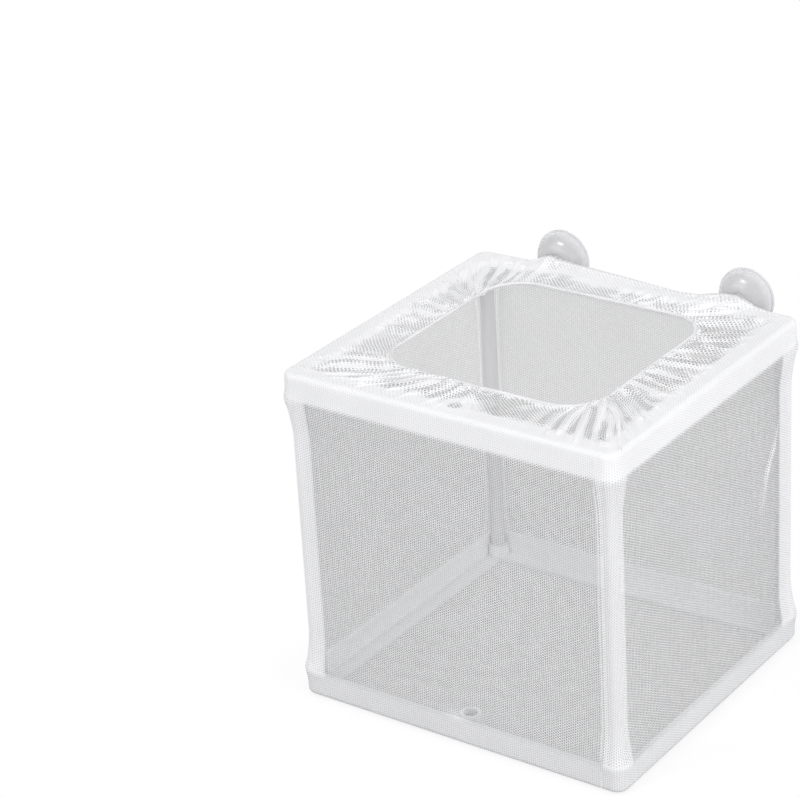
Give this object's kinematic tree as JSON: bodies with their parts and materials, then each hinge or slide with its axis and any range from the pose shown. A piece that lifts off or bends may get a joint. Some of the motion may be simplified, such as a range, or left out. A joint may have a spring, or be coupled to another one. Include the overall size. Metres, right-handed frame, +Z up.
{
  "type": "fish breeding box",
  "caption": "net breeding box for aquarium fry: plastic rings and posts inside a mesh bag with an elastic mouth, hung inside a tank by suction cups that turn in ears at the back",
  "frame": {"origin": "middle of the face that the box stands on", "axes": "+X runs along the front to the right, +Y runs from the front to the back, where the suction cups are, +Z is up"},
  "size_m": [0.1578, 0.1576, 0.1619],
  "materials": {
    "ring": "white moulded plastic",
    "post": "white plastic rod",
    "mesh": "fine white knitted polyester mesh",
    "hem": "rolled and stitched mesh",
    "elastic": "round elastic",
    "cup": "soft translucent vinyl"
  },
  "bodies": {
    "frame_and_bag": {"top_frame": "ring", "bottom_frame": "ring", "post_front_left": "post", "post_front_right": "post", "post_rear_left": "post", "post_rear_right": "post", "net_floor": "mesh", "net_front": "mesh", "net_right": "mesh", "net_rear": "mesh", "net_left": "mesh", "net_skirt_front": "mesh", "net_skirt_right": "mesh", "net_skirt_rear": "mesh", "net_skirt_left": "mesh", "mouth_hem": "hem", "elastic_cord": "elastic", "side_seam": "hem"},
    "left_cup": {"suction_cup_left": "cup"},
    "right_cup": {"suction_cup_right": "cup"}
  },
  "joints": [
    {"name": "left_cup_swivel", "type": "hinge", "parent": "frame_and_bag", "child": "left_cup", "pos_m": [-0.0422, 0.0723, 0.149], "axis": [0, 1, 0], "continuous": true},
    {"name": "right_cup_swivel", "type": "hinge", "parent": "frame_and_bag", "child": "right_cup", "pos_m": [0.0482, 0.0723, 0.149], "axis": [0, 1, 0], "continuous": true}
  ]
}
